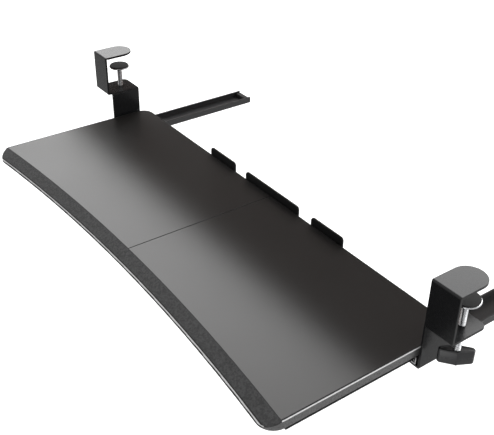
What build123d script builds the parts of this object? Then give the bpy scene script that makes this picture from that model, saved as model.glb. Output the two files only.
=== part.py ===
from build123d import *
import os
import math

# A sliding tray hung from two screw clamps, drawn pulled out.
# X runs to the right, Y to the back and Z up, in millimetres. The origin is on the
# gripped edge: the line where the clamps' top pads and front plates meet, midway
# between the clamps. Right-hand pieces are drawn first and the left ones mirror them.

# Deck, in two boards
deck_width = 690
deck_depth = 245
deck_thickness = 13
deck_drop = 96.5
deck_back = 63
front_radius = 2910
front_corner_radius = 20
rear_corner_radius = 18
arris_radius = 1.0
band_thickness = 2.0
seam_chamfer = 0.4
overrun = 5.0
same_place = 0.1
smooth_share = 0.5

# Wrist strip on the deck's front bevel
bevel_run = 18.5
bevel_drop = 9
strip_thickness = 2.0
nose_radius = 3.0

# Dowels and joining plates across the seam
dowel_diameter = 6
dowel_length = 30
dowel_clearance = 0.05
dowel_end_gap = 0.5
dowel_depth_shares = (0.22, 0.5, 0.78)
plate_length = 140
plate_width = 28
plate_thickness = 2.0
plate_corner = 4
plate_setback = 50
plate_screw_shares = (-0.4, -0.16, 0.16, 0.4)
plate_screw_head = 7.0
plate_screw_shank = 3.5
plate_screw_length = 11
pilot_clearance = 0.05

# Upright stops along the deck's back edge
stop_rise = 11.5
stop_thickness = 3.0
stop_corner = 5
stop_edge_round = 0.6
centre_stop_width = 121
side_stop_width = 63
side_stop_place = 119.5
stop_screw_head = 6.5
stop_screw_head_height = 2.2
stop_screw_shank = 3.2
stop_screw_length = 18
stop_screw_margin = 14

# Clamp brackets, folded from sheet
sheet = 3.0
inner_bend = 0.8
outer_bend = 2.5
sheet_edge_round = 0.4
strip_offset = 5.0
strip_width = 39.5
side_gap = 3.0
jaw_opening = 56
jaw_reach = 51
jaw_corner = 8
top_reach = 51
web_front = 3.0
flange_width = 35
flange_corner = 5
pad_thickness = 1.5
pad_inset = 2.25

# Clamp screws, with their nuts, discs and knobs
gripped_thickness = 21
screw_diameter = 8
screw_setback = 31.5
screw_outset = 1.75
screw_hole_clearance = 0.5
thread_clearance = 0.05
nut_across_flats = 13
nut_height = 6.5
facing_thickness = 1.5
facing_inset = 1.0
disc_diameter = 32
disc_thickness = 2.0
disc_round = 0.5
hub_diameter = 16
hub_height = 3.0
journal_diameter = 6
journal_clearance = 0.05
rivet_diameter = 9
rivet_height = 1.0
recess_depth = 1.2
recess_clearance = 0.4
end_play = 0.1
knob_length = 40
knob_width = 16
knob_height = 19
knob_tip_radius = 4
knob_angle = 50
knob_top_drop = 69.5
knob_rim_round = 2.0
knob_bore_depth = 14

# Ball slides, laid flat
slide_gap = 3.0
slide_width = 35
slide_height = 12
slide_sheet = 1.2
outer_length = 250
outer_start = 3
outer_height = 10.2
outer_lip = 2.0
inner_setback = 3
inner_front_setback = 7
inner_lip = 1.6
ball_diameter = 5.0
ball_clearance = 0.2
ball_pocket_clearance = 0.05
balls_per_side = 8
ball_pitch = 6.0
cage_sheet = 0.6
cage_length = 50
cage_setback = 6
cage_lift = 0.3
cage_rim = 1.0
bumper_length = 8
bumper_clearance = 0.2
bumper_height = 7.0
bumper_end_gap = 0.5
bumper_round = 1.0

# Slide fasteners
inner_screw_head = 7.0
inner_screw_head_height = 2.2
inner_screw_shank = 3.5
inner_screw_length = 10
inner_screw_shares = (0.08, 0.36, 0.64, 0.92)
bolt_head = 8.0
bolt_shank = 4.0
bolt_clearance = 0.1
bolt_margin = 12
bolt_nut_across_flats = 7.0
bolt_nut_height = 3.2
bolt_tail = 1.0

# Levels and places that follow from the sizes above
deck_top = -deck_drop
deck_bottom = deck_top - deck_thickness
deck_middle = deck_top - deck_thickness / 2
deck_front = deck_back - deck_depth
half_deck = deck_width / 2
arc_centre = deck_front - front_radius
strip_fall = strip_thickness / math.cos(math.atan2(bevel_drop, bevel_run))
plate_face = deck_bottom - plate_thickness
web_inner = half_deck + side_gap
web_outer = web_inner + sheet
strip_inner = web_inner + strip_offset
strip_outer = strip_inner + strip_width
strip_middle = strip_inner + strip_width / 2
screw_middle = strip_middle + screw_outset
jaw_top = -jaw_opening
jaw_bottom = jaw_top - sheet
plate_top = pad_thickness + sheet
slide_bottom = deck_bottom - slide_height
flange_bottom = slide_bottom - sheet
flange_end = web_inner - flange_width
slide_middle = web_inner - slide_gap - slide_width / 2
outer_top = slide_bottom + outer_height
base_top = slide_bottom + slide_sheet
wall_inside = slide_width / 2 - slide_sheet
ball_radius = ball_diameter / 2
ball_level = outer_top - slide_sheet - ball_clearance - ball_radius
ball_offset = wall_inside - ball_clearance - ball_radius
inner_half = ball_offset - ball_radius - ball_clearance
inner_lip_top = ball_level - ball_radius - ball_clearance
inner_bottom = inner_lip_top - slide_sheet
inner_back = deck_back - inner_setback
inner_front = deck_front + inner_front_setback
inner_length = inner_back - inner_front
inner_seat = deck_bottom - slide_sheet
cage_back = inner_back - cage_setback
cage_front = cage_back - cage_length
outer_back = outer_start + outer_length
facing_top = -gripped_thickness
disc_top = facing_top - facing_thickness
disc_bottom = disc_top - disc_thickness
hub_bottom = disc_bottom - hub_height
recess_floor = disc_top - recess_depth
knob_top = facing_top - knob_top_drop
bolt_places = (web_front + bolt_margin, jaw_reach - bolt_margin)


# Shapes used by several pieces

def block(x_range, y_range, z_range):
    spans = (x_range, y_range, z_range)
    size = [high - low for low, high in spans]
    middle = [(high + low) / 2 for low, high in spans]
    return Pos(*middle) * Box(*size)


def rod(diameter, bottom, top, x=0, y=0):
    return Pos(x, y, (bottom + top) / 2) * Cylinder(diameter / 2, top - bottom)


def hexagon(across_flats, bottom, top, x=0, y=0):
    face = RegularPolygon(across_flats / 2, 6, major_radius=False)
    return extrude(Pos(x, y, bottom) * face, amount=top - bottom)


def closed_face(points, rounds=()):
    # A flat face through the points, with some of its corners rounded
    face = make_face(Polyline(*points, close=True))
    for place, radius in rounds:
        corner = face.vertices().sort_by_distance(place)[0]
        face = fillet(corner, radius)
    return face


def along_x(face, low, high):
    # A face drawn in Y and Z, drawn out along X
    return Pos(low, 0, 0) * extrude(Plane.YZ * face, amount=high - low)


def along_y(face, low, high):
    # A face drawn in X and Z, drawn out along Y
    return Pos(0, high, 0) * extrude(Plane.XZ * face, amount=high - low)


def upright_edges(solid, x, y):
    # The vertical edges that stand at one place
    edges = solid.edges().filter_by(Axis.Z)
    return [edge for edge in edges if math.hypot(edge.center().X - x, edge.center().Y - y) < same_place]


def sharp_edges(solid):
    # The edges where two faces meet at a corner instead of running on smoothly
    found = []
    for edge in solid.edges():
        sides = [face for face in solid.faces() if any(edge.is_same(rim) for rim in face.edges())]
        normals = [side.normal_at(edge @ 0.5) for side in sides]
        if len(normals) == 2 and abs(normals[0].dot(normals[1])) < smooth_share:
            found.append(edge)
    return found


def countersunk(head, shank, length, clearance=0):
    # A flat head whose face lies at Z = 0, over a shank that points down
    sink = (head - shank) / 2
    cone = Cone(shank / 2 + clearance, head / 2 + clearance, sink)
    return Pos(0, 0, -sink / 2) * cone + rod(shank + 2 * clearance, -length, 0)


def pan_head(head, head_height, shank, length):
    # A rounded head above Z = 0, over a shank that points down
    cap = rod(head, 0, head_height)
    cap = fillet(cap.edges().sort_by(Axis.Z)[-1], head_height / 2)
    return cap + rod(shank, -length, 0)


def group(solids):
    return Compound(children=list(solids))


# Deck

def outline(inset):
    # The deck seen from above, drawn in from its edge all round
    back = deck_back - inset
    side = half_deck - inset
    low = deck_front - overrun - front_radius + math.sqrt(front_radius ** 2 - half_deck ** 2)
    face = Pos(0, (back + low) / 2) * Rectangle(2 * side, back - low)
    face -= Pos(0, arc_centre) * Circle(front_radius + inset)
    corners = face.vertices().sort_by(Axis.Y)
    face = fillet(corners[-2:], rear_corner_radius - inset)
    corners = face.vertices().sort_by(Axis.Y)
    return fillet(corners[:2], front_corner_radius - inset)


def deck_prism(inset):
    return extrude(Pos(0, 0, deck_bottom) * outline(inset), amount=deck_thickness)


def deck_envelope():
    # The whole deck, with its rims eased top and bottom
    prism = deck_prism(0)
    levels = prism.faces().sort_by(Axis.Z)
    return fillet(levels[0].edges() + levels[-1].edges(), arris_radius)


def swing(points, rounds=()):
    # A profile carried along the deck's curved front edge. Its points are distances
    # behind the front edge and above the deck's top.
    placed = [(deck_front + y, deck_top + z) for y, z in points]
    placed_rounds = [((deck_front + y, deck_top + z), radius) for (y, z), radius in rounds]
    face = closed_face(placed, placed_rounds)
    reach = math.degrees(math.asin((half_deck + overrun) / front_radius))
    centre = Axis((0, arc_centre, 0), (0, 0, 1))
    ring = revolve(Plane.YZ * face, axis=centre, revolution_arc=2 * reach)
    return ring.rotate(centre, -reach)


def lip_point():
    # Where the strip's sloping inner face meets the inner face of its lip
    fall = bevel_drop * (1 - strip_thickness / bevel_run)
    return strip_thickness, -fall - strip_fall


def wrist_strip(envelope):
    foot = -deck_thickness
    points = [(bevel_run, 0), (0, -bevel_drop), (0, foot), (strip_thickness, foot)]
    points += [lip_point(), (bevel_run, -strip_fall)]
    return swing(points, [((0, -bevel_drop), nose_radius)]) & envelope


def strip_room():
    # Everything in front of the strip's inner faces
    foot = -deck_thickness - overrun
    points = [(bevel_run, overrun), (bevel_run, -strip_fall), lip_point(), (strip_thickness, foot)]
    return swing(points + [(-overrun, foot), (-overrun, overrun)])


def right_half():
    return block((0, half_deck + overrun), (deck_front - deck_depth, deck_back + overrun),
                 (deck_bottom - overrun, deck_top + overrun))


def dowel_places():
    return [deck_front + deck_depth * share for share in dowel_depth_shares]


def dowel(y, clearance=0, end_gap=0):
    pin = Cylinder(dowel_diameter / 2 + clearance, dowel_length + 2 * end_gap)
    return Pos(0, y, deck_middle) * Rot(0, 90, 0) * pin


def plate_places():
    return {"front": deck_front + plate_setback, "rear": deck_back - plate_setback}


def plate_screws(clearance=0):
    # Countersunk from below, through both joining plates
    screw = countersunk(plate_screw_head, plate_screw_shank, plate_screw_length, clearance)
    upward = Rot(180, 0, 0) * screw
    places = [(plate_length * share, y) for y in plate_places().values() for share in plate_screw_shares]
    return [Pos(x, y, plate_face) * upward for x, y in places]


def joining_plate(y):
    plate = block((-plate_length / 2, plate_length / 2), (y - plate_width / 2, y + plate_width / 2),
                  (plate_face, deck_bottom))
    plate = fillet(plate.edges().filter_by(Axis.Z), plate_corner)
    for cut in plate_screws(pilot_clearance):
        plate -= cut
    return plate


def stop_table():
    return {
        "left": (-side_stop_place, side_stop_width),
        "centre": (0, centre_stop_width),
        "right": (side_stop_place, side_stop_width),
    }


def stop_screws(clearance=0):
    # Driven forwards into the deck's back edge
    screw = pan_head(stop_screw_head, stop_screw_head_height, stop_screw_shank + 2 * clearance, stop_screw_length)
    placed = []
    for middle, width in stop_table().values():
        reach = width / 2 - stop_screw_margin
        for x in (middle - reach, middle + reach):
            placed.append(Pos(x, deck_back + stop_thickness, deck_middle) * Rot(-90, 0, 0) * screw)
    return placed


def rear_stop(middle, width):
    left = middle - width / 2
    right = middle + width / 2
    top = deck_top + stop_rise
    points = [(left, deck_bottom), (right, deck_bottom), (right, top), (left, top)]
    face = closed_face(points, [((right, top), stop_corner), ((left, top), stop_corner)])
    plate = along_y(face, deck_back, deck_back + stop_thickness)
    broad = plate.faces().sort_by(Axis.Y)
    plate = fillet(broad[0].edges() + broad[-1].edges(), stop_edge_round)
    for cut in stop_screws(pilot_clearance):
        plate -= cut
    return plate


# Ball slides

def slide_face(points, rounds):
    # Half a channel's outline in X and Z, mirrored about the slide's middle
    right = [(slide_middle + x, z) for x, z in points]
    left = [(slide_middle - x, z) for x, z in reversed(points)]
    placed = [((slide_middle + side * x, z), radius) for (x, z), radius in rounds for side in (-1, 1)]
    return closed_face(right + left, placed)


def slide_outer():
    # The fixed channel, open upwards, with its lips turned in over the balls
    half = slide_width / 2
    inside = half - slide_sheet
    lip_end = inside - outer_lip
    points = [(half, slide_bottom), (half, outer_top), (lip_end, outer_top),
              (lip_end, outer_top - slide_sheet), (inside, outer_top - slide_sheet), (inside, base_top)]
    bends = [((half, slide_bottom), slide_sheet), ((half, outer_top), slide_sheet)]
    channel = along_y(slide_face(points, bends), outer_start, outer_back)
    for cut in bolts(bolt_clearance):
        channel -= cut
    return channel


def slide_inner():
    # The moving channel, open downwards, with its lips turned out under the balls
    inside = inner_half - slide_sheet
    lip_end = inner_half + inner_lip
    points = [(inner_half, deck_bottom), (inner_half, inner_lip_top), (lip_end, inner_lip_top),
              (lip_end, inner_bottom), (inside, inner_bottom), (inside, inner_seat)]
    bends = [((inner_half, deck_bottom), slide_sheet)]
    channel = along_y(slide_face(points, bends), inner_front, inner_back)
    for cut in inner_screws(pilot_clearance):
        channel -= cut
    return channel


def inner_screws(clearance=0):
    # Driven up through the inner channel into the board
    shank = inner_screw_shank + 2 * clearance
    screw = Rot(180, 0, 0) * pan_head(inner_screw_head, inner_screw_head_height, shank, inner_screw_length)
    places = [inner_front + inner_length * share for share in inner_screw_shares]
    return [Pos(slide_middle, y, inner_seat) * screw for y in places]


def ball_places():
    first = (cage_front + cage_back) / 2 - ball_pitch * (balls_per_side - 1) / 2
    return [(slide_middle + side * ball_offset, first + ball_pitch * step, ball_level)
            for side in (-1, 1) for step in range(balls_per_side)]


def ball_cage():
    # A shallow trough whose walls hold the balls in round pockets
    floor = base_top + cage_lift
    half = ball_offset + cage_sheet / 2
    rim = ball_level + ball_radius + cage_rim
    points = [(half, floor), (half, rim), (half - cage_sheet, rim), (half - cage_sheet, floor + cage_sheet)]
    cage = along_y(slide_face(points, []), cage_front, cage_back)
    for place in ball_places():
        pocket = Cylinder(ball_radius + ball_pocket_clearance, 2 * cage_sheet)
        cage -= Pos(*place) * Rot(0, 90, 0) * pocket
    return cage


def slide_bumper():
    # A soft block at the back of the fixed channel
    half = wall_inside - bumper_clearance
    back = outer_back - bumper_end_gap
    body = block((slide_middle - half, slide_middle + half), (back - bumper_length, back),
                 (base_top, base_top + bumper_height))
    return fillet(body.faces().sort_by(Axis.Z)[-1].edges(), bumper_round)


def bolts(clearance=0):
    # Countersunk into the fixed channel, down through the flange
    length = base_top - flange_bottom + bolt_nut_height + bolt_tail
    screw = countersunk(bolt_head, bolt_shank, length, clearance)
    return [Pos(slide_middle, y, base_top) * screw for y in bolt_places]


def bolt_nuts():
    placed = []
    for y in bolt_places:
        nut = hexagon(bolt_nut_across_flats, flange_bottom - bolt_nut_height, flange_bottom, slide_middle, y)
        bore = bolt_shank + 2 * pilot_clearance
        placed.append(nut - rod(bore, flange_bottom - bolt_nut_height, flange_bottom, slide_middle, y))
    return placed


# Clamps

def tongue(inset):
    # The top plate seen from above: straight sides and a half-round far end
    half = strip_width / 2
    shoulder = top_reach - half
    face = Pos(strip_middle, (inset + shoulder) / 2) * Rectangle(2 * (half - inset), shoulder - inset)
    return face + Pos(strip_middle, shoulder) * Circle(half - inset)


def grip():
    # Top plate, front plate and jaw, folded from one strip
    top = plate_top
    points = [(top_reach, top), (-sheet, top), (-sheet, jaw_bottom), (jaw_reach, jaw_bottom),
              (jaw_reach, jaw_top), (0, jaw_top), (0, pad_thickness), (top_reach, pad_thickness)]
    bends = [((-sheet, top), outer_bend), ((-sheet, jaw_bottom), outer_bend),
             ((0, jaw_top), inner_bend), ((0, pad_thickness), inner_bend)]
    strip = along_x(closed_face(points, bends), strip_inner, strip_outer)
    shoulder = top_reach - strip_width / 2
    beyond = block((strip_inner - overrun, strip_outer + overrun), (shoulder, top_reach + overrun), (0, top + overrun))
    strip -= beyond - extrude(tongue(0), amount=top + overrun)
    return fillet(upright_edges(strip, strip_outer, jaw_reach), jaw_corner)


def hanger():
    # From the jaw's inner side a fold down to the web, and a flange turned in under the slide
    root = strip_inner + sheet
    points = [(root, jaw_top), (root, jaw_bottom), (web_outer, jaw_bottom), (web_outer, flange_bottom)]
    points += [(flange_end, flange_bottom), (flange_end, slide_bottom), (web_inner, slide_bottom), (web_inner, jaw_top)]
    bends = [((web_inner, jaw_top), outer_bend), ((web_outer, jaw_bottom), inner_bend),
             ((web_outer, flange_bottom), outer_bend), ((web_inner, slide_bottom), inner_bend)]
    strip = along_y(closed_face(points, bends), web_front, jaw_reach)
    corners = upright_edges(strip, flange_end, web_front) + upright_edges(strip, flange_end, jaw_reach)
    return fillet(corners, flange_corner)


def bracket():
    body = grip() + hanger()
    body = fillet(sharp_edges(body), sheet_edge_round)
    body -= rod(screw_diameter + 2 * screw_hole_clearance, jaw_bottom, jaw_top, screw_middle, screw_setback)
    for cut in bolts(bolt_clearance):
        body -= cut
    return body


def jaw_nut():
    low = jaw_bottom - nut_height
    nut = hexagon(nut_across_flats, low, jaw_bottom, screw_middle, screw_setback)
    return nut - rod(screw_diameter + 2 * thread_clearance, low, jaw_bottom, screw_middle, screw_setback)


def top_pad():
    return extrude(tongue(pad_inset), amount=pad_thickness)


def clamp_screw():
    # A threaded rod, turned down to a journal whose end is riveted over inside the disc
    shoulder = hub_bottom - end_play
    rivet = recess_floor + end_play
    shaft = rod(screw_diameter, knob_top - knob_bore_depth, shoulder)
    shaft += rod(journal_diameter, shoulder, rivet)
    shaft += rod(rivet_diameter, rivet, rivet + rivet_height)
    return Pos(screw_middle, screw_setback, 0) * shaft


def pressure_disc():
    disc = rod(disc_diameter, disc_bottom, disc_top)
    disc = fillet(disc.edges(), disc_round)
    disc += rod(hub_diameter, hub_bottom, disc_bottom)
    disc -= rod(journal_diameter + 2 * journal_clearance, hub_bottom, disc_top)
    disc -= rod(rivet_diameter + 2 * recess_clearance, recess_floor, disc_top)
    return Pos(screw_middle, screw_setback, 0) * disc


def disc_facing():
    return rod(disc_diameter - 2 * facing_inset, disc_top, facing_top, screw_middle, screw_setback)


def knob():
    # Two wings with a ridge between them: straight sides run from the ridge to round tips
    half = knob_length / 2
    ridge = knob_width / 2
    centre = half - knob_tip_radius
    reach = math.hypot(centre, ridge)
    slope = math.atan2(ridge, centre) - math.asin(knob_tip_radius / reach)
    run = math.sqrt(reach ** 2 - knob_tip_radius ** 2)
    x = run * math.cos(slope)
    y = ridge - run * math.sin(slope)
    quarter = [Line((0, ridge), (x, y)), ThreePointArc((x, y), (half, 0), (x, -y)), Line((x, -y), (0, -ridge))]
    other = [Line((0, -ridge), (-x, -y)), ThreePointArc((-x, -y), (-half, 0), (-x, y)), Line((-x, y), (0, ridge))]
    body = extrude(make_face(quarter + other), amount=knob_height)
    levels = body.faces().sort_by(Axis.Z)
    body = fillet(levels[0].edges() + levels[-1].edges(), knob_rim_round)
    body -= rod(screw_diameter, knob_height - knob_bore_depth, knob_height)
    return Pos(screw_middle, screw_setback, knob_top - knob_height) * Rot(0, 0, knob_angle) * body


# Pieces that stand on the middle line

envelope = deck_envelope()
core = deck_prism(band_thickness)
room = strip_room()
half_space = right_half()
pieces = {"wrist_strip": wrist_strip(envelope)}

board = core - room
board = board & half_space
board = chamfer(board.edges().filter_by(Axis.Y).sort_by_distance((0, 0, deck_top))[0], seam_chamfer)
band = (envelope - core - room) & half_space
for hole in [dowel(y, dowel_clearance, dowel_end_gap) for y in dowel_places()]:
    board -= hole
for hole in plate_screws(pilot_clearance) + inner_screws(pilot_clearance):
    board -= hole
for hole in stop_screws(pilot_clearance):
    board -= hole
    band -= hole

pieces["joint_dowels"] = group(dowel(y) for y in dowel_places())
pieces["joining_plate_screws"] = group(plate_screws())
for name, y in plate_places().items():
    pieces["joining_plate_" + name] = joining_plate(y)
for name, (middle, width) in stop_table().items():
    pieces["rear_stop_" + name] = rear_stop(middle, width)
pieces["rear_stop_screws"] = group(stop_screws())

# Pieces in right and left pairs

pairs = {
    "board": board,
    "edge_band": band,
    "slide_inner": slide_inner(),
    "slide_inner_screws": group(inner_screws()),
    "slide_outer": slide_outer(),
    "slide_bumper": slide_bumper(),
    "ball_cage": ball_cage(),
    "slide_balls": group(Pos(*place) * Sphere(ball_radius) for place in ball_places()),
    "slide_bolts": group(bolts()),
    "slide_nuts": group(bolt_nuts()),
    "bracket": bracket(),
    "top_pad": top_pad(),
    "jaw_nut": jaw_nut(),
    "clamp_screw": clamp_screw(),
    "pressure_disc": pressure_disc(),
    "disc_facing": disc_facing(),
    "knob": knob(),
}
for name, piece in pairs.items():
    pieces[name + "_right"] = piece
    pieces[name + "_left"] = mirror(piece, about=Plane.YZ)

os.makedirs("parts", exist_ok=True)
for name, piece in pieces.items():
    export_step(piece, os.path.join("parts", name + ".step"))
print(len(pieces), "nodes written")
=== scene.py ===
import math

import bmesh
import bpy
from mathutils import Matrix, Vector


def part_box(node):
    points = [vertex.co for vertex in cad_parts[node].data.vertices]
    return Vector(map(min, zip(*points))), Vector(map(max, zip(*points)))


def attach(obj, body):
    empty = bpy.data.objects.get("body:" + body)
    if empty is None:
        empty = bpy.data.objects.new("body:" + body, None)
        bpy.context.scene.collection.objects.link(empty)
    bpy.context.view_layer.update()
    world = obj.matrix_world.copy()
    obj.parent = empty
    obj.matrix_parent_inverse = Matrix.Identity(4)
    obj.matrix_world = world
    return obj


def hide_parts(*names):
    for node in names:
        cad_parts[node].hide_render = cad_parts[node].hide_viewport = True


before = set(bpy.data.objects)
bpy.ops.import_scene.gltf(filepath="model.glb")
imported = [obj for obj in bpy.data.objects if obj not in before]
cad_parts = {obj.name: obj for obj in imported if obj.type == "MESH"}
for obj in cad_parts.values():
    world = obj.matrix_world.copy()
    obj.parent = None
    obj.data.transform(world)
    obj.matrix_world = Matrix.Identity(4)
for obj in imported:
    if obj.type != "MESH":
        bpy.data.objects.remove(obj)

print("scene: frame loaded,", len(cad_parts), "nodes")
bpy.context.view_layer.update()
mm = 0.001  # sizes below are in millimetres, times this

# Shader helpers

class Wire:
    # an output socket that can stand in a sum
    def __init__(self, finish, socket):
        self.finish = finish
        self.socket = socket

    def sum(self, operation, first, second):
        return self.finish.node("ShaderNodeMath", {"operation": operation}, {0: first, 1: second})

    def __add__(self, other):
        return self.sum("ADD", self, other)

    def __sub__(self, other):
        return self.sum("SUBTRACT", self, other)

    def __rsub__(self, other):
        return self.sum("SUBTRACT", other, self)

    def __mul__(self, other):
        return self.sum("MULTIPLY", self, other)

    def __pow__(self, other):
        return self.sum("POWER", self, other)

    __radd__ = __add__
    __rmul__ = __mul__


class Finish:
    # one material: a Principled shader whose fixed numbers are set on its own sockets
    def __init__(self, name, **numbers):
        self.material = bpy.data.materials.new(name)
        self.material.use_nodes = True
        self.tree = self.material.node_tree
        self.shader = self.tree.nodes["Principled BSDF"]
        for label, value in numbers.items():
            self.shader.inputs[label.replace("_", " ")].default_value = value
        self.place = self.node("ShaderNodeTexCoord", out="Object")

    def node(self, kind, settings=None, values=None, out=0):
        made = self.tree.nodes.new(kind)
        for label, value in (settings or {}).items():
            if label == "stops":
                ramp = made.color_ramp
                while len(ramp.elements) < len(value):
                    ramp.elements.new(0.5)
                for stop, (spot, tone) in zip(ramp.elements, value):
                    stop.position = spot
                    stop.color = (tone, tone, tone, 1)
            else:
                setattr(made, label, value)
        for label, value in (values or {}).items():
            if isinstance(value, Wire):
                self.tree.links.new(value.socket, made.inputs[label])
            else:
                made.inputs[label].default_value = value
        return Wire(self, made.outputs[out])

    def axis(self, label):
        return self.node("ShaderNodeSeparateXYZ", values={0: self.place}, out=label)

    def stretched(self, scale):
        # the same place with each axis scaled by itself, for grain that runs one way
        return self.node("ShaderNodeVectorMath", {"operation": "MULTIPLY"}, {0: self.place, 1: scale})

    def noise(self, scale, detail=2.0, roughness=0.5, where=None):
        return self.node("ShaderNodeTexNoise", values={
            "Vector": where or self.place, "Scale": scale, "Detail": detail, "Roughness": roughness,
        }, out="Fac")

    def cells(self, scale, feature="F1"):
        return self.node("ShaderNodeTexVoronoi", {"feature": feature},
                         {"Vector": self.place, "Scale": scale}, out="Distance")

    def ramp(self, value, low, high):
        # 0 up to low, 1 from high on
        return self.node("ShaderNodeValToRGB", {"stops": [(low, 0.0), (high, 1.0)]}, {"Fac": value})

    def band(self, value, low, high, soft):
        # 1 where the value lies between low and high, with soft borders
        rise, fall = (self.node("ShaderNodeMapRange", {"interpolation_type": "SMOOTHSTEP"}, {
            "Value": value, "From Min": edge - soft, "From Max": edge + soft}) for edge in (low, high))
        return rise * (1 - fall)

    def blend(self, share, first, second):
        first, second = (tone if isinstance(tone, Wire) else (*tone, 1) for tone in (first, second))
        return self.node("ShaderNodeMix", {"data_type": "RGBA", "clamp_factor": True},
                         {0: share, 6: first, 7: second}, out=2)

    def bump(self, height, millimetres):
        return self.node("ShaderNodeBump", values={"Height": height, "Distance": millimetres * mm})

    def use(self, **wires):
        for label, wire in wires.items():
            self.tree.links.new(wire.socket, self.shader.inputs[label.replace("_", " ")])
        return self.material


# Materials: lengths in millimetres, noise scales per metre

deckLook = {
    "tone": (0.0072, 0.0066, 0.0063), "warmTone": (0.0100, 0.0085, 0.0076),
    "speckTone": (0.035, 0.033, 0.031), "cutTone": (0.002, 0.002, 0.002), "pearl": 0.88, "pearlHeight": 0.030,
    "clouds": 7.0, "specks": 1500.0, "seam": 0.75, "roughness": 0.36,
}


def deckLaminate():
    # near-black melamine with a fine pearl texture and faint uneven gloss
    look = Finish("deckLaminate", IOR=1.46)
    pearl = look.noise(1 / (deckLook["pearl"] * mm), 3.0, 0.6)
    clouds = look.noise(deckLook["clouds"], 3.0)
    specks = look.ramp(look.noise(deckLook["specks"], 1.0), 0.66, 0.74)
    tone = look.blend(clouds, deckLook["tone"], deckLook["warmTone"])
    tone = look.blend(specks * 0.35, tone, deckLook["speckTone"])
    # the cut edges of the boards stay matt and dark along the seam
    seam = look.band(look.axis("X"), -deckLook["seam"] * mm, deckLook["seam"] * mm, 0.15 * mm)
    tone = look.blend(seam, tone, deckLook["cutTone"])
    rough = deckLook["roughness"] + (clouds - 0.5) * 0.07 + (pearl - 0.5) * 0.10 + seam * 0.5
    return look.use(Base_Color=tone, Roughness=rough, Normal=look.bump(pearl, deckLook["pearlHeight"]))


bandLook = {
    # the face's mid-grey, lighter than the black plastic, is partly a painted reflection of the bright
    # surroundings; its mottle is random
    "tone": (0.150, 0.150, 0.150), "darkTone": (0.055, 0.055, 0.055), "seamTone": (0.008, 0.008, 0.008),
    "arrisHighlightTone": (0.95, 0.95, 0.95), "bottomShadeTone": (0.016, 0.016, 0.016), "mottle": 420.0, "mottleHeight": 0.04,
    # heights from the deck's top, low and high
    "deckTop": -96.5, "arrisHighlight": (-2.1, -0.30), "seam": (-0.26, 1.0), "foot": (-14.0, -12.6), "roughness": 0.34,
}


def edgeBand():
    # satin plastic edging: mottled grey face, partly a painted reflection; dark seam and a painted highlight
    # along the top arris above; painted shade along the bottom edge below
    look = Finish("edgeBandPlastic", IOR=1.5)
    height = look.axis("Z")

    def level(label, soft):
        low, high = ((bandLook["deckTop"] + edge) * mm for edge in bandLook[label])
        return look.band(height, low, high, soft * mm)

    mottle = look.ramp(look.noise(bandLook["mottle"], 3.0, 0.65), 0.30, 0.70)
    arrisHighlight, seam, foot = level("arrisHighlight", 0.14), level("seam", 0.10), level("foot", 0.25)
    tone = look.blend(mottle, bandLook["darkTone"], bandLook["tone"])
    # painted shade: a dark line along the band's bottom edge
    tone = look.blend(foot, tone, bandLook["bottomShadeTone"])
    tone = look.blend(seam, tone, bandLook["seamTone"])
    # painted highlight: a near-white line along the band's rounded top arris
    tone = look.blend(arrisHighlight * (0.95 + (mottle - 0.5) * 0.3), tone, bandLook["arrisHighlightTone"])
    rough = bandLook["roughness"] + (mottle - 0.5) * 0.22 - arrisHighlight * 0.08 + seam * 0.6
    return look.use(Base_Color=tone, Roughness=rough, Normal=look.bump(mottle, bandLook["mottleHeight"]))


stripLook = {
    "tone": (0.043, 0.043, 0.044), "darkTone": (0.003, 0.003, 0.003), "creaseShadeTone": (0.008, 0.008, 0.008),
    "noseHighlightTone": (0.95, 0.95, 0.95), "lipTone": (0.004, 0.004, 0.004), "roughness": 0.55,
    "grain": 1.1, "grainHeight": 0.09, "fine": 1900.0, "mottle": 400.0, "warp": 180.0,
    # the front edge's arc, the bevel's run, and the heights of the lip and groove, painted shade, and of the
    # nose, painted highlight
    "arcCentre": -3092.0, "arcRadius": 2910.0, "run": 18.5, "lip": -120.0, "noseHighlight": (-106.2, -104.9),
    "groove": 0.7,
}


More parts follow.
